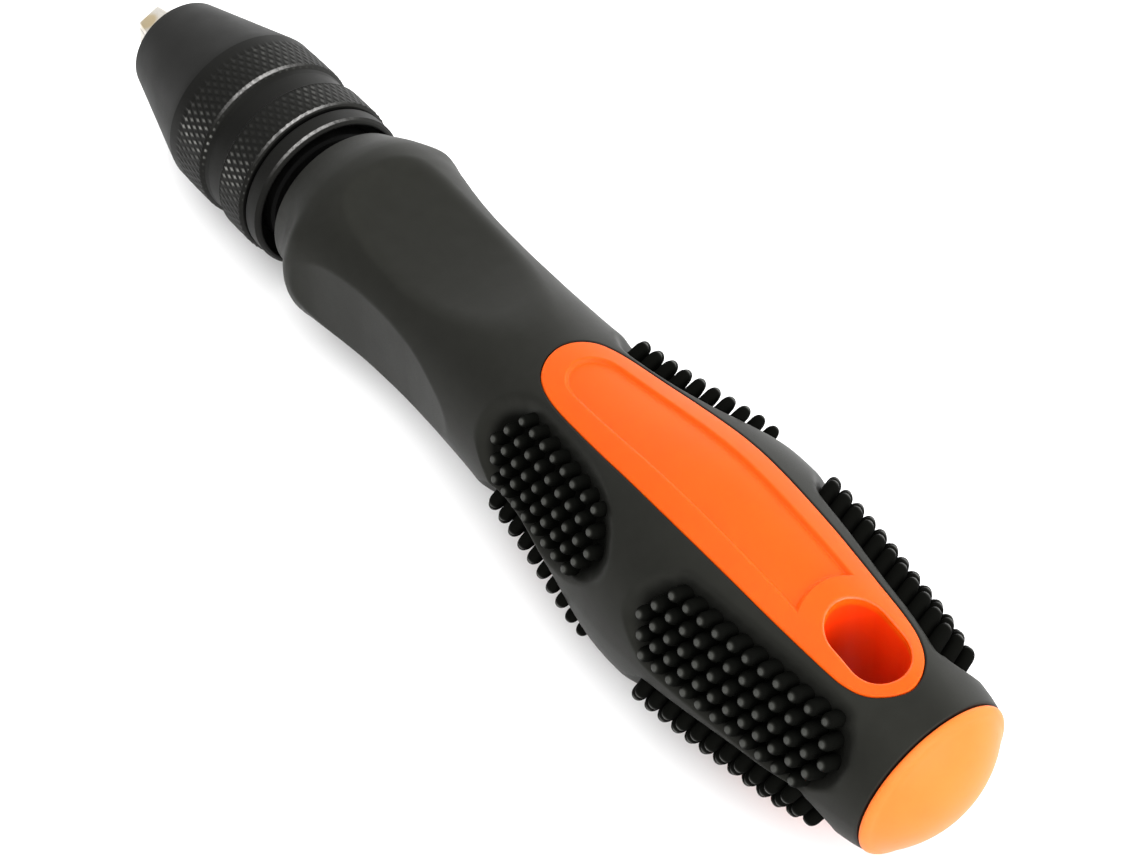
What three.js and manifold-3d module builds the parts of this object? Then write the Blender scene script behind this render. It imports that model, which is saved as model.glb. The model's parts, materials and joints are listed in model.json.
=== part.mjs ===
// Hand drill: a straight handle with a keyless three-jaw chuck on its front end.
// Millimetres. +X runs along the tool towards the nose, +Z is up through the
// orange panel. The tables are drawn with x = 0 near the middle of the tool, and
// the group is moved at the end so that its origin is the exact middle.
import * as THREE from "three";
import { mergeVertices } from "three/addons/utils/BufferGeometryUtils.js";
import Module from "manifold-3d";

const wasm = await Module();
wasm.setup();

// ---------------------------------------------------------------- dimensions
const TIP_X = 97.1; // closed jaw tips
const BUTT_X = -95.25; // apex of the end cap
const SEG = 32; // facets round the large turned pieces
const DEG = Math.PI / 180;

// chuck
const JAW_ANGLE = 15; // jaws lean in by this much towards the nose
const JAW_R = 2.5; // jaw cylinder
const JAW_BORE_R = 2.75; // its bore in the chuck body
const JAW_LENGTH = 25.35;
const JAW_TIP_OFFSET = 0.002; // jaw axis to tool axis at the tip
const JAW_PHASE = 8; // first jaw, degrees from +Z towards +Y
const JAW_GAP = 0.15; // half the slit between closed jaws
const THREAD_PITCH = 1.5; // along the tool axis, per turn of the sleeve
const THREAD_X0 = 70.4; // a crest of the nut's thread at +Z
const NOSE_X = 88.4; // flat nose face of the sleeve
const NUT_X = [70.9, 77.0];
const NUT_R = 10.9;
const NUT_FLANGE_R = 12.3;
const BALL_R = 0.7;
const BALL_PITCH_R = 11.65;
const BALL_X = 70.0;
const BALLS = 10;
const BORE_R = 3.5; // clear bore behind the jaws
const SOCKET_R = 5.0; // socket for the spindle's screw end

// handle
const GAP = 0.3; // between a piece and the one moulded or pressed on it
const HEX_AF = 8; // spindle shank across flats
const PANEL_X = [-12.6, -84.3];
const HOLE_X = -76.0;
const HOLE_HALF_LENGTH = 6.1;
const HOLE_HALF_WIDTH = 4.35;
const PANEL_RECESS = 0.7;
const PAD_ANGLE = 62; // nub pads sit at this angle each side of both panels
// finger hollows, flat across: x and distance from the axis
const TOP_HOLLOW = [
  [-8.5, 15.1],
  [-5.8, 14.35],
  [-3.0, 13.6],
  [0.0, 12.85],
  [4.0, 12.05],
  [8.0, 11.5],
  [12.0, 11.3],
  [16.0, 11.45],
  [20.0, 11.85],
  [24.0, 12.6],
  [27.0, 13.4],
  [29.0, 14.2],
  [30.5, 15.0],
  [32.6, 17.2],
];
const SIDE_HOLLOW = [
  [-8.5, 15.1],
  [-5.3, 14.3],
  [-3.0, 13.75],
  [0.0, 13.2],
  [4.0, 12.55],
  [8.0, 12.15],
  [13.0, 12.0],
  [18.0, 12.15],
  [22.0, 12.55],
  [26.0, 13.2],
  [29.0, 13.95],
  [31.0, 14.75],
  [32.5, 15.6],
  [34.3, 17.2],
];

// outside of the rubber grip: x, radius
const SKIN = [
  [41.9, 12.7],
  [41.2, 12.95],
  [39.7, 13.55],
  [37.7, 14.8],
  [35.5, 15.9],
  [34.0, 16.24],
  [31.5, 15.95],
  [27.7, 15.37],
  [23.7, 14.87],
  [18.0, 14.37],
  [11.0, 14.1],
  [3.0, 14.07],
  [-4.3, 14.27],
  [-10.0, 14.6],
  [-20.0, 15.6],
  [-29.0, 16.9],
  [-38.5, 18.45],
  [-46.3, 19.04],
  [-54.5, 18.6],
  [-63.0, 17.6],
  [-71.0, 16.3],
  [-77.5, 15.1],
  [-82.0, 13.95],
  [-85.5, 13.35],
  [-89.6, 12.5],
];
// outside of the core under the grip
const CORE = [
  [41.6, 9.6],
  [-8.0, 9.6],
  [-20.0, 11.1],
  [-36.0, 13.9],
  [-46.3, 14.6],
  [-57.0, 13.9],
  [-72.0, 11.8],
  [-83.3, 9.7],
  [-89.4, 9.2],
];
// half outline of the panel, x and half width
const PANEL = [
  [-12.6, 0],
  [-13.0, 2.2],
  [-13.9, 3.9],
  [-15.3, 5.3],
  [-17.8, 6.35],
  [-20.8, 6.95],
  [-25.3, 7.4],
  [-35.3, 8.15],
  [-46.3, 8.6],
  [-60.3, 8.1],
  [-70.3, 7.4],
  [-77.0, 6.75],
  [-79.8, 5.95],
  [-81.8, 4.7],
  [-83.3, 2.9],
  [-84.1, 1.2],
  [-84.3, 0],
];
const WINDOW_RECESS = [
  [-16.5, 0],
  [-16.9, 1.6],
  [-17.9, 2.95],
  [-19.8, 3.95],
  [-23.5, 4.35],
  [-35.3, 4.95],
  [-46.3, 5.25],
  [-60.3, 5.0],
  [-67.9, 4.77],
  [-67.0, 2.5],
  [-66.6, 0],
];
// half outline of each nub field, x and half width, and how far its tips stand
// above the skin; each field is one plain pad as high as the tips
const FRONT_PAD = {
  outline: [
    [-14.6, 0],
    [-15.0, 3.6],
    [-17.6, 6.3],
    [-38.4, 6.3],
    [-40.7, 3.4],
    [-41.0, 0],
  ],
  stand: 1.15,
};
const REAR_PAD = {
  outline: [
    [-51.2, 0],
    [-52.0, 3.2],
    [-54.4, 6.1],
    [-80.2, 6.1],
    [-82.4, 3.2],
    [-83.0, 0],
  ],
  stand: 1.8,
};

// ------------------------------------------------------------------- helpers
function solid(geometry) {
  const g = geometry.clone();
  g.deleteAttribute("normal");
  g.deleteAttribute("uv");
  const merged = mergeVertices(g, 1e-4);
  const make = (tri) =>
    new wasm.Manifold(
      new wasm.Mesh({
        numProp: 3,
        vertProperties: merged.attributes.position.array,
        triVerts: tri,
      }),
    );
  const tri = [];
  const index = merged.index.array;
  for (let i = 0; i < index.length; i += 3) {
    const [a, b, c] = [index[i], index[i + 1], index[i + 2]];
    if (a !== b && b !== c && a !== c) tri.push(a, b, c);
  }
  const made = make(new Uint32Array(tri));
  if (made.volume() > 0) return made;
  for (let i = 0; i < tri.length; i += 3)
    [tri[i + 1], tri[i + 2]] = [tri[i + 2], tri[i + 1]];
  return make(new Uint32Array(tri));
}

function geometryOf(manifold) {
  const m = manifold.getMesh();
  const n = m.numProp;
  const v = new Float32Array(m.numVert * 3);
  for (let i = 0; i < m.numVert; i++)
    for (let k = 0; k < 3; k++) v[3 * i + k] = m.vertProperties[n * i + k];
  const g = new THREE.BufferGeometry();
  g.setAttribute("position", new THREE.BufferAttribute(v, 3));
  g.setIndex(new THREE.BufferAttribute(new Uint32Array(m.triVerts), 1));
  g.computeVertexNormals();
  return g;
}

// A turned piece about the tool axis; profile is a list of [x, radius].
function turned(profile, segments = SEG) {
  const points = profile.map(([x, r]) => new THREE.Vector2(r, x));
  const g = new THREE.LatheGeometry(points, segments);
  g.rotateZ(-Math.PI / 2);
  return solid(g);
}
const ring = (profile, segments = SEG) =>
  turned([...profile, profile[0]], segments);
const tube = (x0, x1, rIn, rOut, segments = SEG) =>
  ring(
    [
      [x0, rIn],
      [x1, rIn],
      [x1, rOut],
      [x0, rOut],
    ],
    segments,
  );
const rod = (x0, x1, r, segments = SEG) =>
  turned(
    [
      [x0, 0],
      [x0, r],
      [x1, r],
      [x1, 0],
    ],
    segments,
  );

// A straight prism along Z from an outline in x and y.
function prism(outline, z0, z1) {
  const shape = new THREE.Shape(outline.map(([x, y]) => new THREE.Vector2(x, y)));
  const g = new THREE.ExtrudeGeometry(shape, {
    depth: z1 - z0,
    bevelEnabled: false,
  });
  g.translate(0, 0, z0);
  return solid(g);
}
const mirrored = (half) => [
  ...half,
  ...half
    .filter(([, y]) => y !== 0)
    .reverse()
    .map(([x, y]) => [x, -y]),
];
// Moves an outline inwards by d, well enough for outlines without sharp turns.
function inset(outline, d) {
  const n = outline.length;
  let area = 0;
  for (let i = 0; i < n; i++) {
    const [x0, y0] = outline[i];
    const [x1, y1] = outline[(i + 1) % n];
    area += x0 * y1 - x1 * y0;
  }
  const s = area > 0 ? 1 : -1;
  return outline.map(([x, y], i) => {
    const a = outline[(i + n - 1) % n];
    const b = outline[(i + 1) % n];
    const e0 = new THREE.Vector2(x - a[0], y - a[1]).normalize();
    const e1 = new THREE.Vector2(b[0] - x, b[1] - y).normalize();
    const m = new THREE.Vector2(-(e0.y + e1.y), e0.x + e1.x).normalize();
    const k = Math.max(0.5, m.x * -e0.y + m.y * e0.x);
    return [x + (s * d * m.x) / k, y + (s * d * m.y) / k];
  });
}
const turn = (manifold, degreesFromZtoY) =>
  manifold.rotate([-degreesFromZtoY, 0, 0]);
const offset = (table, d) => table.map(([x, r]) => [x, r + d]);
const union = (list) => wasm.Manifold.union(list);

const group = new THREE.Group();
function piece(name, manifold, color, roughness, metalness) {
  const mesh = new THREE.Mesh(
    geometryOf(manifold),
    new THREE.MeshStandardMaterial({ color, roughness, metalness }),
  );
  mesh.name = name;
  group.add(mesh);
}

// --------------------------------------------------------------------- jaws
const TAN = Math.tan(JAW_ANGLE * DEG);
const COS = Math.cos(JAW_ANGLE * DEG);
// distance of the jaws' outermost line from the tool axis
const jawOuter = (x) => JAW_TIP_OFFSET + JAW_R / COS + (TIP_X - x) * TAN;

// A cylinder on the first jaw's axis, in the XZ plane, from s0 to s1 behind the tip.
function jawCylinder(radius, s0, s1, segments) {
  const g = new THREE.CylinderGeometry(radius, radius, s1 - s0, segments);
  g.rotateY(Math.PI / segments);
  g.translate(0, -(s0 + s1) / 2, 0);
  g.rotateZ(-Math.PI / 2); // +Y to +X
  g.rotateY(JAW_ANGLE * DEG); // nose end dips towards the axis
  g.translate(TIP_X, 0, JAW_TIP_OFFSET);
  return solid(g);
}
// A prism along X from an outline in y and z whose size may change along x.
function loft(sections, place = (s, [y, z]) => [s.x, y, z]) {
  const n = sections[0].outline.length;
  const vertices = sections.flatMap((s) =>
    s.outline.flatMap((point) => place(s, point)),
  );
  const index = [];
  for (let k = 0; k + 1 < sections.length; k++)
    for (let i = 0; i < n; i++) {
      const j = (i + 1) % n;
      const a = k * n;
      const b = a + n;
      index.push(a + i, a + j, b + j, a + i, b + j, b + i);
    }
  for (let i = 1; i + 1 < n; i++) {
    index.push(0, i + 1, i);
    const b = (sections.length - 1) * n;
    index.push(b, b + i, b + i + 1);
  }
  const g = new THREE.BufferGeometry();
  g.setAttribute("position", new THREE.Float32BufferAttribute(vertices, 3));
  g.setIndex(index);
  return solid(g);
}
// A straight prism across the tool, from an outline in x and z.
function crossPrism(outline, halfWidth = 4) {
  return loft(
    [-halfWidth, halfWidth].map((y) => ({ y, outline })),
    (s, [x, z]) => [x, s.y, z],
  );
}
function jaw(angle) {
  const apex = JAW_GAP / Math.sin(60 * DEG);
  const wedge = (x) => ({
    x,
    outline: [
      [0, apex],
      [20 * Math.sin(60 * DEG), apex + 20 * Math.cos(60 * DEG)],
      [0, 40],
      [-20 * Math.sin(60 * DEG), apex + 20 * Math.cos(60 * DEG)],
    ],
  });
  const facet = (x, r) => ({
    x,
    outline: [
      [0, 0],
      [r * Math.sin(60 * DEG), r * Math.cos(60 * DEG)],
      [0, r],
      [-r * Math.sin(60 * DEG), r * Math.cos(60 * DEG)],
    ],
  });
  // two ground flats on the nose of each jaw, so the closed jaws end in a hexagon
  const nose = loft([
    facet(60, 34),
    facet(86.9, 34),
    facet(87.0, 4.45),
    facet(96.6, 2.75),
    facet(TIP_X, 2.35),
  ]);
  let j = jawCylinder(JAW_R, -3, JAW_LENGTH, 16)
    .intersect(loft([wedge(60), wedge(99)]))
    .intersect(nose);
  // grooves that take the nut's thread
  const grooves = [];
  const first = THREAD_X0 - (THREAD_PITCH * angle) / 360;
  for (let n = -2; n < 15; n++) {
    const x = first + n * THREAD_PITCH;
    if (x < 71.4 || x > 87.6) continue;
    const r = (dx, dr) => jawOuter(x + dx) + dr;
    grooves.push(
      crossPrism([
        [x - 0.38, r(-0.38, -0.95)],
        [x + 0.38, r(0.38, -0.95)],
        [x + 0.6, r(0.6, 0.6)],
        [x - 0.6, r(-0.6, 0.6)],
      ]),
    );
  }
  j = j.subtract(union(grooves));
  return turn(j, angle);
}
const JAW_ANGLES = [JAW_PHASE, JAW_PHASE + 120, JAW_PHASE + 240];
JAW_ANGLES.forEach((angle, i) =>
  piece(`jaw_${i + 1}`, jaw(angle), 0xd8ccb8, 0.3, 0.85),
);

// --------------------------------------------------------------- chuck body
const bodyProfile = [
  [45.3, SOCKET_R],
  [57.0, SOCKET_R],
  [58.2, BORE_R],
  [88.1, BORE_R],
  [88.1, 6.1],
  [87.7, 6.45],
  [86.0, 6.45],
  [80.7, 8.1],
  [77.3, 8.1],
  [77.2, jawOuter(77.2) - 0.85],
  [70.7, jawOuter(70.7) - 0.85],
  [70.7, 10.35],
  [67.7, 10.35],
  [67.7, 12.35],
  [50.3, 12.35],
  [49.9, 11.9],
  [49.9, 10.5],
  [45.7, 10.5],
  [45.3, 10.1],
];
piece(
  "chuck_body",
  ring(bodyProfile).subtract(
    union(
      JAW_ANGLES.map((angle) =>
        turn(jawCylinder(JAW_BORE_R, -4, 38.95, 16), angle),
      ),
    ),
  ),
  0x3a3a3c,
  0.35,
  0.8,
);

// ------------------------------------------------------------ two-piece nut
function threadRidge() {
  const steps = 20;
  const turns = 6;
  const start = THREAD_X0 - THREAD_PITCH;
  const corners = [
    [-0.18, -0.55],
    [0.18, -0.55],
    [0.36, 0.75],
    [-0.36, 0.75],
  ];
  const vertices = [];
  const count = steps * turns + 1;
  for (let i = 0; i < count; i++) {
    const angle = (-360 * i) / steps; // right-hand rule about +X opens the jaws
    const x = start + (THREAD_PITCH * i) / steps;
    for (const [dx, dr] of corners) {
      const r = jawOuter(x + dx) + dr;
      vertices.push(x + dx, r * Math.sin(angle * DEG), r * Math.cos(angle * DEG));
    }
  }
  const index = [];
  for (let i = 0; i + 1 < count; i++)
    for (let k = 0; k < 4; k++) {
      const a = 4 * i + k;
      const b = 4 * i + ((k + 1) % 4);
      index.push(a, b, b + 4, a, b + 4, a + 4);
    }
  const last = 4 * (count - 1);
  index.push(0, 2, 1, 0, 3, 2, last, last + 1, last + 2, last, last + 2, last + 3);
  const g = new THREE.BufferGeometry();
  g.setAttribute("position", new THREE.Float32BufferAttribute(vertices, 3));
  g.setIndex(index);
  return solid(g);
}
const nutRing = ring(
  [
    [NUT_X[0], jawOuter(NUT_X[0]) + 0.3],
    [NUT_X[1], jawOuter(NUT_X[1]) + 0.3],
    [NUT_X[1], NUT_R],
    [72.0, NUT_R],
    [72.0, NUT_FLANGE_R],
    [NUT_X[0], NUT_FLANGE_R],
  ],
  20,
);
const nut = nutRing.add(
  threadRidge().intersect(tube(NUT_X[0], NUT_X[1], 5, 10.2, 20)),
);
const halfSpace = (sign) =>
  solid(
    new THREE.BoxGeometry(20, 20, 40).translate(74, sign * (10 + 0.12), 0),
  );
piece("nut_half_a", nut.intersect(halfSpace(1)), 0x8c8c8e, 0.4, 0.85);
piece("nut_half_b", nut.intersect(halfSpace(-1)), 0x8c8c8e, 0.4, 0.85);
piece("nut_collar", tube(72.2, 74.5, 11.08, 11.6), 0x6e6e70, 0.4, 0.85);

// -------------------------------------------------------------- thrust race
piece("thrust_race", tube(68.0, 69.1, 10.65, 12.3), 0xa0a0a4, 0.25, 0.9);
const pocket = (i) =>
  solid(
    new THREE.CylinderGeometry(BALL_R + 0.15, BALL_R + 0.15, 4, 12)
      .rotateZ(-Math.PI / 2)
      .translate(BALL_X, 0, BALL_PITCH_R)
      .rotateX((-2 * Math.PI * i) / BALLS),
  );
piece(
  "ball_cage",
  tube(69.5, 70.5, 10.6, 12.3).subtract(
    union([...Array(BALLS).keys()].map(pocket)),
  ),
  0xb08a3a,
  0.4,
  0.8,
);
for (let i = 0; i < BALLS; i++)
  piece(
    `ball_${String(i + 1).padStart(2, "0")}`,
    solid(
      new THREE.SphereGeometry(BALL_R, 8, 5)
        .translate(BALL_X, 0, BALL_PITCH_R)
        .rotateX((-2 * Math.PI * i) / BALLS),
    ),
    0xc8c8cc,
    0.15,
    0.95,
  );

// ------------------------------------------------------ sleeve and rear ring
piece(
  "outer_sleeve",
  ring([
    [NOSE_X, 6.75],
    [NOSE_X, 8.4],
    [88.0, 8.8],
    [69.7, 13.92],
    [69.0, 14.06],
    [66.5, 14.08],
    [66.3, 14.15],
    [60.6, 14.15],
    [59.6, 13.45],
    [58.9, 13.35],
    [55.6, 13.35],
    [54.8, 14.05],
    [49.8, 14.05],
    [48.9, 13.35],
    [48.9, 12.6],
    [72.3, 12.6],
    [72.3, 11.85],
    [74.8, 11.85],
    [74.8, 11.15],
    [77.3, 11.15],
    [77.3, 8.4],
    [80.8, 8.4],
    [86.1, 6.75],
  ]),
  0x2a2a2c,
  0.38,
  0.6,
);
piece(
  "rear_ring",
  ring([
    [48.5, 10.72],
    [48.5, 13.2],
    [48.25, 13.45],
    [46.2, 13.5],
    [45.3, 13.05],
    [45.1, 12.6],
    [45.1, 10.72],
  ]),
  0x2a2a2c,
  0.32,
  0.6,
);

// ------------------------------------------------------------------ spindle
const hex = (af) =>
  [...Array(6).keys()].map((i) => {
    const r = af / 2 / Math.cos(30 * DEG);
    return [r * Math.sin(60 * i * DEG), r * Math.cos(60 * i * DEG)];
  });
const spindle = union([
  turned(
    [
      [37.6, 0],
      [37.6, 5.6],
      [42.2, 5.6],
      [42.2, 7.6],
      [45.0, 7.6],
      [45.0, 4.7],
      [56.2, 4.7],
      [56.7, 4.2],
      [56.7, 0],
    ],
    36,
  ),
  loft([
    { x: -18, outline: hex(HEX_AF) },
    { x: 38.2, outline: hex(HEX_AF) },
  ]),
]);
piece("spindle", spindle, 0x4a4a4c, 0.35, 0.85);

// ------------------------------------------------------------- handle core
const closedSkin = [
  [SKIN[0][0], 0],
  ...SKIN,
  [SKIN[SKIN.length - 1][0], 0],
];
const skinSolid = turned(closedSkin);
const below = (d) =>
  turned([[60, 0], [60, SKIN[0][1] - d], ...offset(SKIN, -d), [-99, 12.5 - d], [-99, 0]]);
const stadium = (halfLength, halfWidth, n = 8) => {
  const out = [];
  const c = halfLength - halfWidth;
  // a flat facet sits square across each end
  for (let i = 0; i <= n; i++) {
    const a = (-90 + (180 * (i + 0.0)) / n) * DEG;
    out.push([HOLE_X + c + halfWidth * Math.cos(a), halfWidth * Math.sin(a)]);
  }
  for (let i = 0; i <= n; i++) {
    const a = (90 + (180 * i) / n) * DEG;
    out.push([HOLE_X - c + halfWidth * Math.cos(a), halfWidth * Math.sin(a)]);
  }
  return out;
};
const panelOutline = mirrored(PANEL);
const panels = skinSolid.intersect(prism(inset(panelOutline, GAP), -30, 30));
const panelRecess = prism(mirrored(WINDOW_RECESS), -30, 30).subtract(
  below(PANEL_RECESS),
);
const hole = prism(stadium(HOLE_HALF_LENGTH, HOLE_HALF_WIDTH, 9), -30, 30);
const spindlePocket = union([
  loft([
    { x: -18.4, outline: hex(HEX_AF + 0.6) },
    { x: 42, outline: hex(HEX_AF + 0.6) },
  ]),
  rod(37.2, 42, 6.0, 36),
]);
const capSocket = rod(-92, -85.0, 6.3, 32);
piece(
  "handle_core",
  union([turned([[CORE[0][0], 0], ...CORE, [CORE[CORE.length - 1][0], 0]]), panels])
    .subtract(union([panelRecess, hole, spindlePocket, capSocket])),
  0xff6a1e,
  0.42,
  0,
);

// -------------------------------------------------------------- rubber grip
const scallop = (table, angle) => {
  // a block whose underside lies straight across the tool
  const top = 30;
  const outline = [...table, [table[table.length - 1][0], top], [table[0][0], top]];
  const shape = new THREE.Shape(outline.map(([x, z]) => new THREE.Vector2(x, z)));
  const g = new THREE.ExtrudeGeometry(shape, { depth: 60, bevelEnabled: false });
  g.translate(0, 0, -30);
  g.rotateX(Math.PI / 2); // outline's second axis becomes +Z
  return turn(solid(g), angle);
};
const padBody = (pad, angle) =>
  turn(prism(mirrored(pad.outline), 10, 30), angle).intersect(below(-pad.stand));
const PAD_ANGLES = [PAD_ANGLE, 180 - PAD_ANGLE, 180 + PAD_ANGLE, 360 - PAD_ANGLE];
const bore = turned([
  [50, 0],
  [50, CORE[0][1] + GAP],
  ...offset(CORE, GAP),
  [-99, CORE[CORE.length - 1][1] + GAP],
  [-99, 0],
]);
const grip = union([
  skinSolid,
  ...PAD_ANGLES.flatMap((a) => [padBody(FRONT_PAD, a), padBody(REAR_PAD, a)]),
]).subtract(
  union([
    bore,
    prism(panelOutline, -30, 30),
    ...[0, 180].map((a) => scallop(TOP_HOLLOW, a)),
    ...[90, 270].map((a) => scallop(SIDE_HOLLOW, a)),
  ]),
);
piece("grip_sleeve", grip, 0x2b2b2b, 0.6, 0);

// ------------------------------------------------------------------ end cap
const domeR = 12.35;
const domeH = 5.15;
const domeSphere = (domeR * domeR + domeH * domeH) / (2 * domeH);
const dome = [];
for (let i = 1; i <= 6; i++) {
  const half = Math.asin(domeR / domeSphere);
  const a = half * (1 - i / 6);
  dome.push([
    BUTT_X + domeSphere - domeSphere * Math.cos(a),
    domeSphere * Math.sin(a),
  ]);
}
piece(
  "end_cap",
  turned([
    [-85.4, 0],
    [-85.4, 5.6],
    [-85.8, 6.0],
    [-89.9, 6.0],
    [-89.9, 12.4],
    [BUTT_X + domeH, domeR],
    ...dome.slice(0, -1),
    [BUTT_X, 0],
  ]),
  0xff8a30,
  0.4,
  0,
);

group.position.x = -(TIP_X + BUTT_X) / 2;
export default group;
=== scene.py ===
"""Looks of the hand drill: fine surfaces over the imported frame, materials, floor, light and camera.

Lengths in the tables are millimetres: +X runs to the nose, +Z comes out of the upper orange
panel, and MIDDLE is the x that the row frame has its origin at. Angles round the tool are
degrees from +Z towards +Y.
"""

import json
import math

import bmesh
import bpy
import numpy as np
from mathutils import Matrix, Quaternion, Vector


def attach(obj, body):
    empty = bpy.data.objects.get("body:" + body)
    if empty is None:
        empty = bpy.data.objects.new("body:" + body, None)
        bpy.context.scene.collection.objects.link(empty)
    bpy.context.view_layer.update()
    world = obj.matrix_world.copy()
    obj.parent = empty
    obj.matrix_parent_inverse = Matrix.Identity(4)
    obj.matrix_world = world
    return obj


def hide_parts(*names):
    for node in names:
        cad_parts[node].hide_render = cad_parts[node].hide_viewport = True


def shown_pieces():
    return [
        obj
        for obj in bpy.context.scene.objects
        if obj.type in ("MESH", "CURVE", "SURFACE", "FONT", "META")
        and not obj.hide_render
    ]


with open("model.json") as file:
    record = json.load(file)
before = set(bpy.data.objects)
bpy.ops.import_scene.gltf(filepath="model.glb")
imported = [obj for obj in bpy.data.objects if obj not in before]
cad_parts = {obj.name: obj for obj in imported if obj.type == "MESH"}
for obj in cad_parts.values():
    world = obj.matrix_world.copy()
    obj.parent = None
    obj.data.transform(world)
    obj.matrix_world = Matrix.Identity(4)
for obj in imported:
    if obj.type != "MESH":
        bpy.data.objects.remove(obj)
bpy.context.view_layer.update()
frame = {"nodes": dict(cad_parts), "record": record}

MM = 0.001
MIDDLE = 0.925
scene = bpy.context.scene

# --------------------------------------------------------------------------- shape tables
# skin of the rubber grip: x, radius
SKIN = [
    (41.9, 12.75), (40.6, 12.95), (39.1, 13.45), (37.7, 14.12), (36.2, 15.1), (35.3, 15.7),
    (34.6, 16.08), (33.9, 16.24), (33.0, 16.16), (31.9, 15.95), (30.7, 15.75), (27.7, 15.37), (23.7, 14.87), (18.0, 14.37),
    (12.7, 14.16), (8.0, 14.05), (3.0, 14.07), (-4.3, 14.27), (-9.3, 14.5), (-15.3, 15.1),
    (-21.3, 15.8), (-27.3, 16.65), (-33.3, 17.65), (-39.3, 18.55), (-43.0, 18.92),
    (-46.3, 19.04), (-50.3, 18.92), (-55.3, 18.5), (-60.3, 17.95), (-65.3, 17.2),
    (-70.3, 16.4), (-75.3, 15.65), (-78.5, 14.95), (-81.0, 14.25), (-83.3, 13.7),
    (-85.5, 13.35), (-87.8, 12.95), (-89.6, 12.5),
]
# finger hollows in the waist, flat across: x and distance from the tool axis
TOP_HOLLOW = [
    (-8.5, 15.1), (-5.8, 14.35), (-3.0, 13.6), (0.0, 12.85), (4.0, 12.05), (8.0, 11.5),
    (12.0, 11.3), (16.0, 11.45), (20.0, 11.85), (24.0, 12.6), (27.0, 13.4), (29.0, 14.2),
    (30.5, 15.0), (32.6, 17.2),
]
SIDE_HOLLOW = [
    (-8.5, 15.1), (-5.3, 14.3), (-3.0, 13.75), (0.0, 13.2), (4.0, 12.55), (8.0, 12.15),
    (13.0, 12.0), (18.0, 12.15), (22.0, 12.55), (26.0, 13.2), (29.0, 13.95), (31.0, 14.75),
    (32.5, 15.6), (34.3, 17.2),
]
# half outline of the orange panel in plan: x, half width
PANEL = [
    (-12.6, 0), (-13.0, 2.2), (-13.9, 3.9), (-15.3, 5.3), (-17.8, 6.35), (-20.8, 6.95),
    (-25.3, 7.4), (-35.3, 8.15), (-46.3, 8.6), (-60.3, 8.1), (-70.3, 7.4), (-77.0, 6.75),
    (-79.8, 5.95), (-81.8, 4.7), (-83.3, 2.9), (-84.1, 1.2), (-84.3, 0),
]
# half outline of the shallow recess in the panel, front tip to rear corner
RECESS_SIDE = [
    (-16.5, 0), (-16.9, 1.6), (-17.9, 2.95), (-19.8, 3.95), (-23.5, 4.35), (-35.3, 4.95),
    (-46.3, 5.25), (-60.3, 5.0), (-67.9, 4.77),
]
RECESS_REAR = [(-67.9, 4.77), (-67.15, 3.2), (-66.75, 1.6), (-66.6, 0)]
RECESS_DEPTH = 0.69
HOLE_X, HOLE_HALF_LENGTH, HOLE_HALF_WIDTH = -76.0, 6.1, 4.35
# half outlines of the hollows that the nubs stand in: x, distance along the surface
FRONT_HOLLOW = [
    (-12.6, 0), (-13.2, 3.3), (-15.4, 5.9), (-19.0, 7.2), (-31.0, 7.6), (-37.2, 6.4),
    (-41.2, 3.4), (-42.5, 0),
]
REAR_HOLLOW = [
    (-50.2, 0), (-50.9, 3.2), (-53.2, 5.9), (-57.0, 7.1), (-78.0, 6.7), (-81.6, 5.3),
    (-83.8, 2.6), (-84.2, 0),
]
# nub rows: distance from the pad's middle line, number
FRONT_ROWS = [(0, 10), (2.5, 9), (5.0, 8)]
REAR_ROWS = [(0, 13), (2.5, 12), (5.0, 11)]
# the four pads round the tool differ a little in the moulding:
# angle of the middle, x of the first nub, pitch, how far the tips stand above the skin at
# the first and at the last nub, and how far the tips lean forward
PADS = [
    (
        FRONT_HOLLOW,
        FRONT_ROWS,
        1.0,
        [
            (60.3, -15.8, 2.738, 1.0, 1.15, 0.0),
            (118, -15.3, 2.67, 1.0, 1.1, 0.0),
            (242, -15.3, 2.67, 1.0, 1.1, 0.0),
            (298, -15.05, 2.665, 1.35, 1.45, 0.0),
        ],
    ),
    (
        REAR_HOLLOW,
        REAR_ROWS,
        1.08,
        [
            (61.5, -52.3, 2.55, 1.5, 1.6, 0.0),
            (118, -52.2, 2.5, 1.4, 1.4, 0.0),
            (242, -52.2, 2.5, 1.4, 1.4, 0.0),
            (297, -51.63, 2.54, 1.55, 1.85, 0.6),
        ],
    ),
]
PAD_ANGLES = (62, 118)
HOLLOW_DEPTH = 1.6


# --------------------------------------------------------------------------- small maths
def pchip(points):
    """A smooth curve through (x, y) points that doesn't overshoot between them."""
    pts = sorted(points)
    x = np.array([p[0] for p in pts], float)
    y = np.array([p[1] for p in pts], float)
    h = np.diff(x)
    d = np.diff(y) / h
    m = np.zeros(len(x))
    for i in range(1, len(x) - 1):
        if d[i - 1] * d[i] > 0:
            w1, w2 = 2 * h[i] + h[i - 1], h[i] + 2 * h[i - 1]
            m[i] = (w1 + w2) / (w1 / d[i - 1] + w2 / d[i])
    m[0], m[-1] = d[0], d[-1]

    def value(q):
        q = np.clip(np.asarray(q, float), x[0], x[-1])
        i = np.clip(np.searchsorted(x, q) - 1, 0, len(x) - 2)
        t = (q - x[i]) / h[i]
        return (
            y[i] * (1 + 2 * t) * (1 - t) ** 2
            + h[i] * m[i] * t * (1 - t) ** 2
            + y[i + 1] * t * t * (3 - 2 * t)
            + h[i] * m[i + 1] * t * t * (t - 1)
        )

    return value


def smoothstep(low, high, value):
    t = np.clip((value - low) / (high - low), 0, 1)
    return t * t * (3 - 2 * t)


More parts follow.
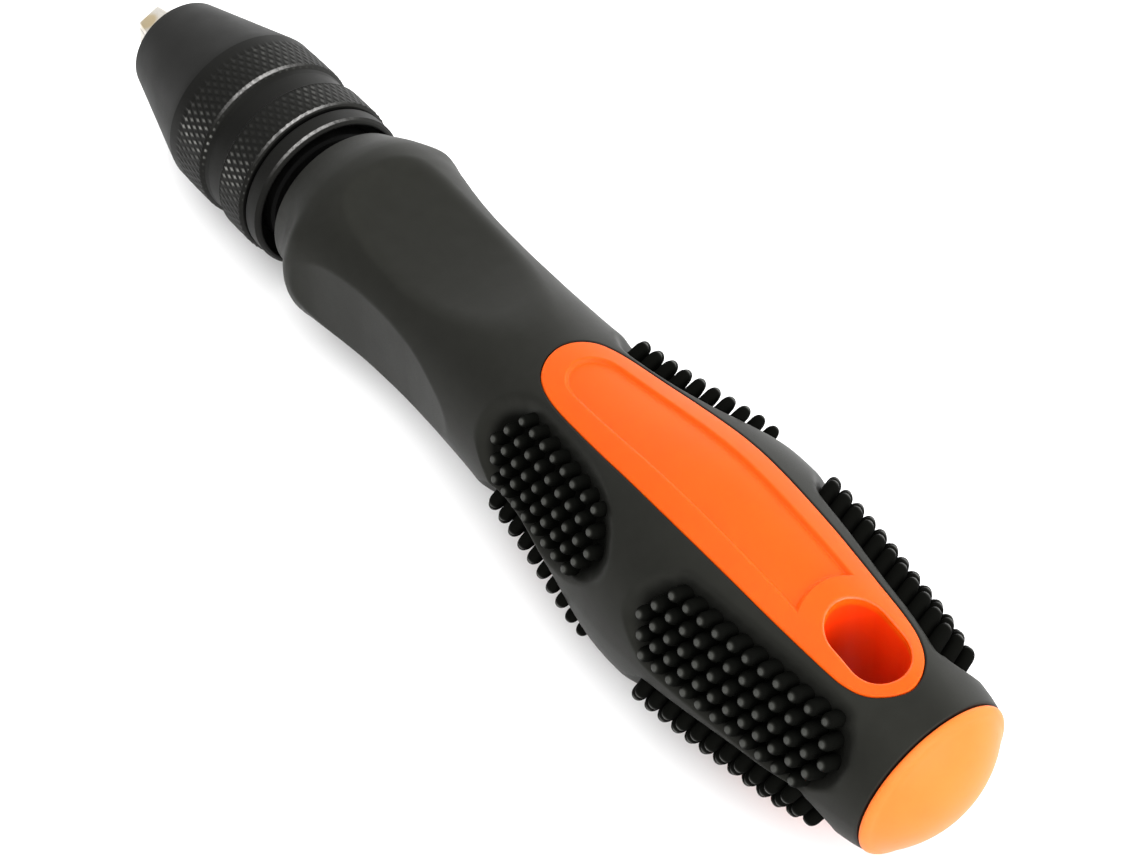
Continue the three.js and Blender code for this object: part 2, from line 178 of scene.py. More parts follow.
def through(points, per_span=12, closed=False):
    """A Catmull-Rom curve through the points."""
    p = np.array(points, float)
    n = len(p)
    out = []
    spans = n if closed else n - 1
    for i in range(spans):
        if closed:
            a, b, c, d = p[(i - 1) % n], p[i], p[(i + 1) % n], p[(i + 2) % n]
        else:
            b, c = p[i], p[i + 1]
            a = p[i - 1] if i else 2 * b - c
            d = p[i + 2] if i + 2 < n else 2 * c - b
        for k in range(per_span):
            t = k / per_span
            out.append(
                0.5
                * (
                    2 * b
                    + (c - a) * t
                    + (2 * a - 5 * b + 4 * c - d) * t * t
                    + (3 * b - a - 3 * c + d) * t**3
                )
            )
    if not closed:
        out.append(p[-1])
    return np.array(out)


def mirrored_loop(half):
    """The whole closed outline from its half with y >= 0."""
    half = [tuple(q) for q in half]
    return half + [(x, -y) for x, y in reversed(half[1:-1])]


def inside_distance(loop, x, y):
    """Distance to a closed outline, positive inside it."""
    loop = np.array(loop, float)
    best = np.full(np.shape(x), 1e9)
    inside = np.zeros(np.shape(x), bool)
    for a, b in zip(loop, np.roll(loop, -1, axis=0)):
        e = b - a
        t = np.clip(((x - a[0]) * e[0] + (y - a[1]) * e[1]) / max(e @ e, 1e-12), 0, 1)
        best = np.minimum(best, (x - a[0] - t * e[0]) ** 2 + (y - a[1] - t * e[1]) ** 2)
        crosses = (a[1] > y) != (b[1] > y)
        with np.errstate(divide="ignore", invalid="ignore"):
            at = a[0] + (y - a[1]) * e[0] / (e[1] if e[1] else 1e-12)
        inside ^= crosses & (x < at)
    return np.where(inside, 1, -1) * np.sqrt(best)


def smooth_min(a, b, k):
    h = np.clip(k - np.abs(a - b), 0, None) / k
    return np.minimum(a, b) - h * h * k * 0.25


def edge_drop(distance, radius):
    """How far a rounded edge of that radius lies below the face, at a distance in from the edge."""
    d = np.clip(radius - distance, 0, radius)
    return radius - np.sqrt(radius * radius - d * d)


skin = pchip(SKIN)
# over the top and underside the flange runs out softly into the finger hollows
soft_flange = pchip(
    [(41.9, 12.75), (40.2, 13.45), (38.2, 14.35), (36.2, 15.15), (34.4, 15.6), (32.4, 15.75), (30.7, 15.72)]
    + [p for p in SKIN if p[0] < 28]
)
panel_width_squared = pchip([(x, y * y) for x, y in PANEL])


def panel_half_width(x):
    inside = (x < PANEL[0][0]) & (x > PANEL[-1][0])
    return np.where(inside, np.sqrt(np.clip(panel_width_squared(x), 0, None)), 0.0)


finger_hollows = (
    # middle of the hollow, distance from the axis, how soft its edge is
    (0, pchip(TOP_HOLLOW), 0.9),
    (90, pchip(SIDE_HOLLOW), 0.1),
    (180, pchip(TOP_HOLLOW), 0.9),
    (270, pchip(SIDE_HOLLOW), 0.1),
)


# the moulded waist and flange sit a little off the tool axis, towards -62 degrees
aside = pchip([(-12, 0), (-4, 0.12), (5, 0.22), (20, 0.26), (30, 0.35), (36, 0.5), (41.9, 0.42)])


def waist_radius(x, angle):
    """Radius of the skin with its four finger hollows. angle in degrees."""
    level = smoothstep(0.45, 0.8, np.abs(np.cos(np.radians(angle))))
    r = skin(x) + level * (soft_flange(x) - skin(x)) + aside(x) * np.cos(np.radians(angle + 62))
    for middle, low, soft in finger_hollows:
        off = (angle - middle + 180) % 360 - 180
        near = (np.abs(off) < 65) & (x > -8.4) & (x < 34.2)
        cut = np.where(x > 34.2, 99.0, low(x)) / np.cos(np.radians(np.where(near, off, 0)))
        r = np.where(near, smooth_min(r, cut, soft), r)
    return r


# --------------------------------------------------------------------------- mesh building
class Shape:
    """Gathers vertices in millimetres, faces and a value for each vertex that carries painted shade, painted
    highlights and some wear to the materials.
    """

    def __init__(self):
        self.points, self.faces, self.painted_light_and_wear, self.count = [], [], [], 0

    def add(self, points, painted_light_and_wear=0.0):
        points = np.asarray(points, float).reshape(-1, 3)
        first = self.count
        self.points.append(points)
        self.painted_light_and_wear.append(np.broadcast_to(np.asarray(painted_light_and_wear, float).reshape(-1), (len(points),)))
        self.count += len(points)
        return np.arange(first, self.count)

    def quads(self, a, b, c, d):
        self.faces.append(np.stack([np.ravel(v) for v in (a, b, c, d)], axis=1))

    def grid(self, index, wrap=False):
        """Quads between the rows and columns of an index array."""
        if wrap:
            index = np.concatenate([index, index[:, :1]], axis=1)
        self.quads(index[:-1, :-1], index[:-1, 1:], index[1:, 1:], index[1:, :-1])

    def zip_rings(self, a, angle_a, b, angle_b):
        """Triangles between two rings with different numbers of points."""
        i = j = 0
        na, nb = len(a), len(b)
        tri = []
        aa = np.append(angle_a, angle_a[0] + 360)
        bb = np.append(angle_b, angle_b[0] + 360)
        while i < na or j < nb:
            if j >= nb or (i < na and aa[i + 1] <= bb[j + 1]):
                tri.append((a[i], a[(i + 1) % na], b[j % nb], b[j % nb]))
                i += 1
            else:
                tri.append((a[i % na], b[(j + 1) % nb], b[j], b[j]))
                j += 1
        self.faces.append(np.array(tri))

    def build(self, name, smooth=True, sharp=None):
        points = np.concatenate(self.points)
        painted_light_and_wear = np.concatenate(self.painted_light_and_wear)
        faces = np.concatenate(self.faces)
        keys, first, inverse = np.unique(
            np.round(points * 2000).astype(np.int64), axis=0, return_index=True, return_inverse=True
        )
        inverse = inverse.reshape(-1)
        points, painted_light_and_wear = points[first] - (MIDDLE, 0, 0), painted_light_and_wear[first]
        lists = []
        for f in inverse[faces]:
            row = [int(v) for k, v in enumerate(f) if v != f[k - 1]]
            if len(set(row)) == len(row) and len(row) >= 3:
                lists.append(row)
        mesh = bpy.data.meshes.new(name)
        mesh.from_pydata((points * MM).tolist(), [], lists)
        bm = bmesh.new()
        bm.from_mesh(mesh)
        loose = [v for v in bm.verts if not v.link_faces]
        layer = bm.verts.layers.float.new("painted_light_and_wear")
        for v, w in zip(bm.verts, painted_light_and_wear):
            v[layer] = float(w)
        if loose:
            bmesh.ops.delete(bm, geom=loose, context="VERTS")
        bmesh.ops.recalc_face_normals(bm, faces=bm.faces)
        bm.to_mesh(mesh)
        bm.free()
        mesh.polygons.foreach_set("use_smooth", [smooth] * len(mesh.polygons))
        if sharp is not None:
            mesh.set_sharp_from_angle(angle=math.radians(sharp))
        mesh.update()
        obj = bpy.data.objects.new(name, mesh)
        scene.collection.objects.link(obj)
        return obj


def polar(x, r, angle):
    a = np.radians(angle)
    x, r, a = np.broadcast_arrays(x, r, a)
    return np.stack([x, r * np.sin(a), r * np.cos(a)], axis=-1)


def rounded(profile, steps=4):
    """A polyline of (x, r, fillet) with each fillet drawn as an arc of a few points."""
    out = []
    n = len(profile)
    for i, (x, r, f) in enumerate(profile):
        if f <= 0 or i in (0, n - 1):
            out.append((x, r))
            continue
        p = np.array([x, r])
        a = np.array(profile[i - 1][:2]) - p
        b = np.array(profile[i + 1][:2]) - p
        la, lb = np.linalg.norm(a), np.linalg.norm(b)
        a, b = a / la, b / lb
        half = math.acos(np.clip(a @ b, -1, 1)) / 2
        if half > math.radians(88.5):
            out.append((x, r))
            continue
        cut = min(f / math.tan(half), 0.45 * la, 0.45 * lb)
        start, end = p + a * cut, p + b * cut
        for k in range(steps + 1):
            t = k / steps
            out.append(tuple((1 - t) ** 2 * start + 2 * t * (1 - t) * p + t * t * end))
    return out


def refined(profile, step):
    """The polyline with long spans split so that no step is longer."""
    out = [profile[0]]
    for a, b in zip(profile, profile[1:]):
        n = max(1, math.ceil(math.dist(a, b) / step))
        out += [tuple(np.array(a) + (np.array(b) - np.array(a)) * k / n) for k in range(1, n + 1)]
    return out


def turned_piece(name, profile, columns, sharp=None, painted_light_and_wear=None):
    """A closed ring turned about the tool axis, or a solid if its profile ends on the axis."""
    s = Shape()
    profile = np.array(profile, float)
    angle = np.arange(columns) * 360 / columns
    pts = polar(profile[:, :1], profile[:, 1:2], angle[None, :])
    w = np.zeros(pts.shape[:2]) if painted_light_and_wear is None else np.asarray(painted_light_and_wear, float)
    index = s.add(pts, w.ravel()).reshape(len(profile), columns)
    s.grid(index, wrap=True)
    if profile[0, 1] > 1e-6 and profile[-1, 1] > 1e-6:
        s.grid(np.stack([index[-1], index[0]]), wrap=True)
    return s.build(name, sharp=sharp)


# --------------------------------------------------------------------------- rubber grip
def spaced(total, edge_cells, n):
    """Positions from 0 to 1 with fine cells at both ends and even cells between."""
    middle = total - 2 * sum(edge_cells)
    cells = list(edge_cells) + [middle / n] * n + list(edge_cells)[::-1]
    return np.concatenate([[0], np.cumsum(cells)]) / total


EDGE_CELLS = (0.05, 0.06, 0.07, 0.09, 0.12, 0.16, 0.2)


def tip_rows(tip, inward, reach=5.2, width=13.0, outside=(0.04, 0.1, 0.18, 0.3, 0.45, 0.65)):
    """x of rows around the rounded end of an outline, close together where it turns."""
    rows = [tip + inward * (0.35 * k) ** 2 / width for k in range(0, int(reach / 0.35))]
    rows += [tip - inward * d for d in outside]
    return rows


def row_positions(start, end, step, extra):
    """Rows from start down to end: the extra ones, and even ones where there is room."""
    extra = sorted({round(v, 5) for v in extra if end <= v <= start} | {start, end}, reverse=True)
    rows = [extra[0]]
    for b in extra[1:]:
        a = rows[-1]
        if a - b < 0.006:
            continue
        n = max(1, math.ceil((a - b) / step))
        rows += [a + (b - a) * k / n for k in range(1, n + 1)]
    return np.array(rows)


panel_loop = through(mirrored_loop([(x, float(y)) for x, y in PANEL]), 8, closed=True)
grip_front, grip_rear = SKIN[0][0], SKIN[-1][0]
rows = row_positions(
    grip_front,
    grip_rear,
    0.4,
    tip_rows(PANEL[0][0], -1)
    + tip_rows(PANEL[-1][0], 1)
    + [41.87, 41.8, 41.7, 41.6, 41.45, 41.3, 41.1]
    + [grip_rear + d for d in (0.03, 0.08, 0.15, 0.24, 0.35, 0.5)],
)
columns = spaced(36.0, EDGE_CELLS, 132)

half_width = panel_half_width(rows)
window_angle = np.degrees(np.arcsin(np.clip(half_width / skin(rows), 0, 1)))
in_window = half_width > 0
X = np.repeat(rows[:, None], len(columns), axis=1)
A = window_angle[:, None] + (180 - 2 * window_angle[:, None]) * columns[None, :]


def grip_surface(x, angle):
    """Radius of the moulded skin, with its hollows and rounded edges at windows and ends, and a value that paints
    shade into the nub hollows.
    """
    r0 = waist_radius(x, angle)
    r = r0.copy()
    painted_light_and_wear = np.zeros_like(r)
    for hollow, _, _, _ in PADS:
        loop = through(mirrored_loop(hollow), 10, closed=True)
        for middle in PAD_ANGLES:
            off = np.radians(np.abs(angle) - middle)
            near = (np.abs(off) < 0.75) & (x < loop[:, 0].max() + 2.2) & (x > loop[:, 0].min() - 2.2)
            if not near.any():
                continue
            v = r0[near] * np.sin(off[near])
            d = inside_distance(loop, x[near], v)
            # soft edge towards the panel and at the ends, crisp towards the side of the tool
            crisp = smoothstep(1.5, 6.0, v if middle < 90 else -v)
            start, end = -1.7 + 1.2 * crisp, 1.5 - 0.4 * crisp
            t = np.clip((d - start) / (end - start), 0, 1)
            r[near] -= HOLLOW_DEPTH * t * t * (3 - 2 * t)
            # painted shade: the nub hollows are marked to be coloured darker
            painted_light_and_wear[near] -= 1.0 * smoothstep(-0.1, 1.5, d)
    # rounded lip along the panel's window
    y = r0 * np.sin(np.radians(np.abs(angle)))
    near = (x < PANEL[0][0] + 1.5) & (x > PANEL[-1][0] - 1.5) & (np.abs(y) < 11)
    d = -inside_distance(panel_loop, x[near], y[near])
    r[near] -= edge_drop(np.clip(d, 0, 9), 0.22)
    # rounded edge at the rear end
    r -= edge_drop(x - grip_rear, 0.3)
    # faint mould line where the two halves of the tool meet
    r += 0.025 * np.exp(-(((np.abs(angle) - 90) * 0.3) ** 2)) * smoothstep(-12, -16, x)
    return r, painted_light_and_wear


grip = Shape()
side_index, surface = {}, {}
for side in (1, -1):
    radius, grip_hollow_shade = grip_surface(X, side * A)
    surface[side] = polar(X, radius, side * A)
    side_index[side] = grip.add(surface[side], grip_hollow_shade.ravel()).reshape(X.shape)
    grip.grid(side_index[side])

# inner surface, with few columns
inner_columns = np.linspace(0, 1, 13)
XI = np.repeat(rows[:, None], len(inner_columns), axis=1)
AI = window_angle[:, None] + (180 - 2 * window_angle[:, None]) * inner_columns[None, :]
RI = waist_radius(XI, AI) - 2.4
RI = np.minimum(RI, 8.2 + np.clip(41.2 - XI, 0, None) * 6)
LIP = 1.9
inner_index = {}
for side in (1, -1):
    pts = polar(XI, RI, side * AI)
    for col, lift in ((0, -LIP), (-1, LIP)):
        edge = surface[side][:, 0 if col == 0 else -1]
        pts[in_window, col] = edge[in_window] + np.array([0, 0, lift])
    inner_index[side] = grip.add(pts).reshape(XI.shape)
    grip.grid(inner_index[side])
# walls of the two windows
first, last = np.flatnonzero(in_window)[[0, -1]]
span = slice(first - 1, last + 2)
for side in (1, -1):
    for col, down in ((0, -1), (-1, 1)):
        edge = surface[side][span, col]
        levels = [side_index[side][span, col]]
        for depth in (0.25, 0.8):
            moved = edge + np.array([0, 0, down * depth])
            moved[0], moved[-1] = edge[0], edge[-1]
            levels.append(grip.add(moved))
        levels.append(inner_index[side][span, col])
        grip.grid(np.stack(levels))
# end faces
for row in (0, -1):
    outer = np.concatenate([side_index[1][row, :-1], side_index[-1][row, :0:-1]])
    outer_angle = np.concatenate([A[row, :-1], 360 - A[row, :0:-1]])
    inner = np.concatenate([inner_index[1][row, :-1], inner_index[-1][row, :0:-1]])
    inner_angle = np.concatenate([AI[row, :-1], 360 - AI[row, :0:-1]])
    grip.zip_rings(outer, outer_angle, inner, inner_angle)

# nubs: tapered studs with domed tips, drawn straight out along the middle of each pad
NUB_AROUND = 14
nub_turn = np.arange(NUB_AROUND) * 2 * math.pi / NUB_AROUND


def add_nub(shape, x, v, angle, floor, tip, lean, girth):
    height = tip - floor
    dome = 1.55
    body = height - dome
    heights, radii = [-0.4, 0.0, 0.15, 0.5 * body, body], [1.16, 1.15, 1.12, 1.07, 1.02]
    # painted light on each nub: body and foot are marked -1 for painted shade, the domed tip rises to 1 for a painted
    # highlight dot
    nub_shade_and_highlight = [-1.0] * 5
    for t, w in ((0.25, -1), (0.45, -1), (0.6, -1), (0.72, -1), (0.82, -0.85), (0.89, -0.1), (0.935, 0.8), (0.975, 1)):
        heights.append(body + dome * t)
        radii.append(1.02 * math.sqrt(1 - t**2.3) * (1 if t < 0.97 else 0.9))
        nub_shade_and_highlight.append(w)
    h, r = np.array(heights)[:, None], girth * np.array(radii)[:, None]
    out = np.array([0, math.sin(math.radians(angle)), math.cos(math.radians(angle))])
    along = np.array([0, math.cos(math.radians(angle)), -math.sin(math.radians(angle))])
    w = floor + h
    pts = (
        np.array([1.0, 0, 0]) * (x + lean[0] * h / height + r * np.cos(nub_turn))[..., None]
        + along * (v + lean[1] * h / height + r * np.sin(nub_turn))[..., None]
        + out * (w + 0 * nub_turn)[..., None]
    )
    index = shape.add(pts, np.repeat(nub_shade_and_highlight, NUB_AROUND)).reshape(len(heights), NUB_AROUND)
    shape.grid(index, wrap=True)
    for ring, level, value in ((0, -0.4, -1), (-1, height, 1)):
        centre = shape.add(
            [np.array([x, 0, 0]) + along * v + out * (floor + level)
             + (np.array([lean[0], 0, 0]) + along * lean[1]) * level / height],
            value,
        )[0]
        a = index[ring]
        b = np.roll(a, -1)
        shape.quads(a, b, np.full_like(a, centre), np.full_like(a, centre))


rng = np.random.default_rng(7)
for hollow, rows_of_nubs, girth, places in PADS:
    for middle, start, pitch, stand_first, stand_last, forward in places:
        for row, (distance, number) in enumerate(rows_of_nubs):
            for v in {distance, -distance}:
                for k in range(number):
                    x = start - pitch * (k + row / 2)
                    r_out = float(skin(x))
                    stand = stand_first + (stand_last - stand_first) * (k + row / 2) / rows_of_nubs[0][1]
                    floor = math.sqrt((r_out - HOLLOW_DEPTH) ** 2 - v * v)
                    tip = math.sqrt((r_out + stand) ** 2 - v * v)
                    lean = rng.normal(0, 0.035, 2) + (forward, 0)
                    add_nub(grip, x, v, middle, floor, tip, lean, girth)

grip_object = grip.build("rubber_grip")

# --------------------------------------------------------------------------- orange core
PANEL_GAP = 0.13
middle_x = (PANEL[0][0] + PANEL[-1][0]) / 2
half_length = (PANEL[0][0] - PANEL[-1][0]) / 2
shrink_x = (half_length - PANEL_GAP) / half_length
shrink_y = (8.6 - PANEL_GAP) / 8.6


def core_half_width(x):
    return shrink_y * panel_half_width(middle_x + (x - middle_x) / shrink_x)


def hole_half_width(x):
    s = np.clip(np.abs(x - HOLE_X) - (HOLE_HALF_LENGTH - HOLE_HALF_WIDTH), 0, None)
    return np.sqrt(np.clip(HOLE_HALF_WIDTH**2 - s * s, 0, None))


core_front = middle_x + half_length * shrink_x
core_rear = middle_x - half_length * shrink_x
hole_front, hole_rear = HOLE_X + HOLE_HALF_LENGTH, HOLE_X - HOLE_HALF_LENGTH
core_rows = row_positions(
    core_front,
    core_rear,
    0.26,
    tip_rows(core_front, -1, outside=())
    + tip_rows(core_rear, 1, outside=())
    + tip_rows(hole_front, -1, 4.3, 8.7)
    + tip_rows(hole_rear, 1, 4.3, 8.7)
    + [-16.3 - 0.1 * k for k in range(0, 26)]
    + [-66.3 - 0.1 * k for k in range(0, 20)],
)
core_columns = spaced(8.0, EDGE_CELLS, 72)
outer_y = core_half_width(core_rows)
inner_y = np.where((core_rows < hole_front) & (core_rows > hole_rear), hole_half_width(core_rows), 0)
CX = np.repeat(core_rows[:, None], len(core_columns), axis=1)
CY = inner_y[:, None] + (outer_y - inner_y)[:, None] * core_columns[None, :]

recess_loop = np.concatenate(
    [
        through([(-16.9, -1.6)] + RECESS_SIDE, 10)[10:],
        through(RECESS_REAR, 8)[1:],
    ]
)
recess_loop = np.array(mirrored_loop(recess_loop.tolist()))
core_loop = np.stack(
    [middle_x + (panel_loop[:, 0] - middle_x) * shrink_x, panel_loop[:, 1] * shrink_y], axis=1
)


def core_surface(x, y):
    """Height of the panel over the tool's middle plane."""
    z = np.sqrt(np.clip(skin(x) ** 2 - y * y, 0, None)) - 0.03
    z -= RECESS_DEPTH * smoothstep(-0.12, 0.62, inside_distance(recess_loop, x, y))
    z -= edge_drop(np.clip(inside_distance(core_loop, x, y), 0, 9), 0.25)
    s = np.clip(np.abs(x - HOLE_X) - (HOLE_HALF_LENGTH - HOLE_HALF_WIDTH), 0, None)
    from_hole = np.hypot(s, y) - HOLE_HALF_WIDTH
    z -= edge_drop(np.clip(from_hole, 0, 9), 0.45)
    # the hole's edge is polished by the hook it hangs on
    return z, -1.0 * (1 - smoothstep(0.2, 0.45, from_hole))


CZ, core_wear = core_surface(CX, CY)
core = Shape()
core_index = {}
for up in (1, -1):
    for side in (1, -1):
        pts = np.stack([CX, side * CY, up * CZ], axis=-1)
        core_index[up, side] = core.add(pts, core_wear.ravel()).reshape(CX.shape)
        core.grid(core_index[up, side])
in_hole = inner_y > 0
h0, h1 = np.flatnonzero(in_hole)[[0, -1]]
hole_span = slice(h0 - 1, h1 + 2)
for side in (1, -1):
    for col, where, levels in ((0, hole_span, 24), (-1, slice(None), 6)):
        top = np.stack([CX, side * CY, CZ], axis=-1)[where, col]
        stack = [core_index[1, side][where, col]]
        for k in range(1, levels):
            pts = top.copy()
            pts[:, 2] *= 1 - 2 * k / levels
            # the hang hole's walls are marked 1, for their painted deeper shade
            stack.append(core.add(pts, float(levels == 24)))
        stack.append(core_index[-1, side][where, col])
        core.grid(np.stack(stack))
core_object = core.build("handle_core_panels", sharp=50)

# --------------------------------------------------------------------------- end cap
dome_base, dome_height, dome_x = 12.35, 5.15, -95.25
ball = (dome_base**2 + dome_height**2) / (2 * dome_height)
cap_profile = [(-85.6, 0.0), (-85.6, 5.6), (-85.9, 5.9), (-89.75, 5.9), (-89.78, 11.9)]
cap_profile += [(-89.8, 12.15), (-89.87, 12.3), (-90.0, 12.38), (-90.2, 12.39)]
shoulder_end = math.asin(11.2 / ball)
end_point = (dome_x + ball - ball * math.cos(shoulder_end), 11.2)
for k in range(1, 9):
    t = k / 9
    a, b, c = (-90.2, 12.39), (-90.75, 12.2), end_point
    cap_profile.append(tuple((1 - t) ** 2 * a[i] + 2 * t * (1 - t) * b[i] + t * t * c[i] for i in (0, 1)))
for k in range(0, 30):
    a = shoulder_end * (1 - k / 30)
    cap_profile.append((dome_x + ball - ball * math.cos(a), ball * math.sin(a)))
cap_profile.append((dome_x, 0.0))
cap_object = turned_piece("end_cap_dome", cap_profile, 144, sharp=60)

# --------------------------------------------------------------------------- chuck sleeve
KNURL_TEETH = 67
KNURL_PITCH_X = 2.4
KNURLS = [(60.1, 66.5, 14.15), (49.3, 54.75, 14.05)]
# bands of the sleeve's rear bevels that are painted as bright highlight lines
EDGE_HIGHLIGHT_BANDS = [(60.18, 60.5), (49.2, 49.45)]
KNURL_DEPTH = 0.12
sleeve_outer = rounded(
    [
        (88.4, 6.75, 0), (88.4, 8.38, 0.12), (88.02, 8.8, 0.2), (69.7, 13.92, 0.5),
        (69.0, 14.08, 0.4), (66.45, 14.1, 0), (66.4, 14.15, 0.03), (60.5, 14.15, 0.05),
        (59.75, 13.5, 0.08), (58.9, 13.35, 0.3), (55.6, 13.35, 0.35), (54.8, 14.05, 0.06),
        (49.45, 14.05, 0.05), (48.93, 13.5, 0.1), (48.9, 12.9, 0.08), (48.9, 12.6, 0),
    ]
)
fine = []
for a, b in zip(sleeve_outer, sleeve_outer[1:]):
    inside = any(lo - 0.8 < min(a[0], b[0]) and max(a[0], b[0]) < hi + 0.8 for lo, hi, _ in KNURLS)
    part = refined([a, b], 0.2 if inside else 1.0)
    fine += part if not fine else part[1:]
sleeve_inner = [
    (51.0, 12.6), (72.3, 12.6), (72.3, 11.85), (74.8, 11.85), (74.8, 11.15), (77.3, 11.15),
    (77.3, 8.4), (80.8, 8.4), (86.1, 6.75),
]
sleeve_profile = np.array(fine + sleeve_inner)
SLEEVE_COLUMNS = KNURL_TEETH * 10
turn = np.arange(SLEEVE_COLUMNS) * 360 / SLEEVE_COLUMNS
SX = np.repeat(sleeve_profile[:, :1], SLEEVE_COLUMNS, axis=1)
SR = np.repeat(sleeve_profile[:, 1:], SLEEVE_COLUMNS, axis=1)
u = np.broadcast_to(turn * KNURL_TEETH / 360, SX.shape)
sleeve_light_and_wear = np.zeros_like(SX)
on_outside = np.zeros(SX.shape, bool)
on_outside[: len(fine)] = True


def bell(angle, middle, width):
    off = (angle - middle + 180) % 360 - 180
    return np.exp(-((off / width) ** 2))


turn_wide = np.broadcast_to(turn, SX.shape)
# painted highlights, with some wear: the knurl tips are lightened where light glints on them (round 63 degrees,
# faintly round -14) and the turned edges are made bright where light reflects on them (round 8 degrees); the broad
# weaker terms round 215 and 190 degrees are wear on the side the tool is laid down on
tip_highlight_and_wear = 0.04 + 0.96 * bell(turn_wide, 63, 12) + 0.2 * bell(turn_wide, -14, 12) + 0.4 * bell(turn_wide, 215, 40)
edge_highlight_and_wear = 0.05 + 0.95 * bell(turn_wide, 8, 22) + 0.4 * bell(turn_wide, 190, 50)
for low, high, radius in KNURLS:
    w = SX / KNURL_PITCH_X
    groove = np.zeros_like(SX)
    for hand in (1, -1):
        p = u + hand * w
        off = np.abs(p - np.round(p))
        groove = np.maximum(groove, np.clip(1 - off / 0.36, 0, 1))
    fade = smoothstep(low - 0.35, low, SX) * (1 - smoothstep(high - 0.12, high + 0.12, SX))
    cut = radius - KNURL_DEPTH * groove * fade
    zone = on_outside & (SX > low - 0.8) & (SX < high + 0.5)
    SR = np.where(zone, np.minimum(SR, cut), SR)
    # the knurl tips carry the painted highlight, fading into the grooves
    sleeve_light_and_wear = np.where(zone, tip_highlight_and_wear * fade * np.clip(1 - 3.5 * groove, 0, 1), sleeve_light_and_wear)
# the rear bevels carry the painted highlight lines, as negative values
for low, high in EDGE_HIGHLIGHT_BANDS:
    sleeve_light_and_wear = np.where(on_outside & (SX > low - 0.02) & (SX < high + 0.02), -1 * edge_highlight_and_wear, sleeve_light_and_wear)
sleeve = Shape()
index = sleeve.add(polar(SX, SR, turn[None, :]), sleeve_light_and_wear.ravel()).reshape(SX.shape)
sleeve.grid(index, wrap=True)
sleeve.grid(np.stack([index[-1], index[0]]), wrap=True)
sleeve_object = sleeve.build("knurled_sleeve", sharp=40)

ring_profile = refined(
    rounded(
        [
            (48.5, 10.72, 0), (48.5, 13.15, 0.12), (48.2, 13.45, 0.15), (45.75, 13.5, 0.08),
            (45.3, 13.1, 0.08), (45.12, 12.8, 0.08), (45.1, 12.6, 0.06), (46.6, 12.2, 0.1),
            (47.9, 10.72, 0),
        ]
    ),
    0.14,
)
ring_turn = np.arange(180) * 2.0
# painted highlight line on the ring's rear bevel, strongest round 9 degrees, with a weaker wear term round 190 on the
# underside
ring_edge_highlight_and_wear = 0.05 + 0.95 * bell(ring_turn, 9, 22) + 0.4 * bell(ring_turn, 190, 50)
ring_light_and_wear = [-1 * ring_edge_highlight_and_wear if 45.5 < x < 45.8 and r > 13.02 else 0 * ring_turn for x, r in ring_profile]
ring_object = turned_piece("chuck_rear_ring", ring_profile, 180, sharp=40, painted_light_and_wear=ring_light_and_wear)

# turned collar round the rear end of the chuck body, seen in the gap behind the ring
collar_profile = rounded(
    [
        (49.6, 10.52, 0), (49.6, 10.6, 0.03), (45.6, 10.6, 0.2), (45.16, 10.15, 0.15),
        (45.16, 5.6, 0.15), (45.29, 5.3, 0), (45.29, 10.05, 0), (45.71, 10.52, 0),
    ]
)
collar_object = turned_piece("chuck_body_collar", collar_profile, 144, sharp=40)


# --------------------------------------------------------------------------- jaws
JAW_PHASE, JAW_LEAN, JAW_TIP_X, JAW_GAP = 8, 15, 97.1, 0.035
JAW_NOSE = [
    # x, distance of the ridges from the tool axis
    (95.65, 3.74), (95.62, 3.86), (95.53, 3.94), (95.35, 4.0), (94.2, 4.28), (92.6, 4.66),
    (92.2, 4.72), (89.5, 4.74), (89.25, 4.5),
]


def jaw_section(r):
    """Outline of one closed jaw round +Z: three ground flats outside, two slit faces inside."""
    wide = math.radians(60)
    apex = np.array([0, JAW_GAP / math.sin(wide)])
    corners = [apex]
    # the closed jaws' six ridges lie a little round from the slits
    for degrees, part in ((60, 0.9), (45.6, 1.0), (-14.4, 1.0), (-60, 0.9)):
        a = math.radians(degrees)
        corners.append(part * r * np.array([math.sin(a), math.cos(a)]))
    corners[1] += JAW_GAP * np.array([-math.cos(wide), math.sin(wide)])
    corners[4] += JAW_GAP * np.array([math.cos(wide), math.sin(wide)])
    outline = [apex]
    blunt = 0.12
    for i in range(1, 5):
        p = corners[i]
        a, b = corners[i - 1], corners[(i + 1) % 5]
        ua, ub = (a - p) / np.linalg.norm(a - p), (b - p) / np.linalg.norm(b - p)
        for k in range(4):
            t = k / 3
            outline.append((1 - t) ** 2 * (p + ua * blunt) + 2 * t * (1 - t) * p + t * t * (p + ub * blunt))
    return np.array(outline)


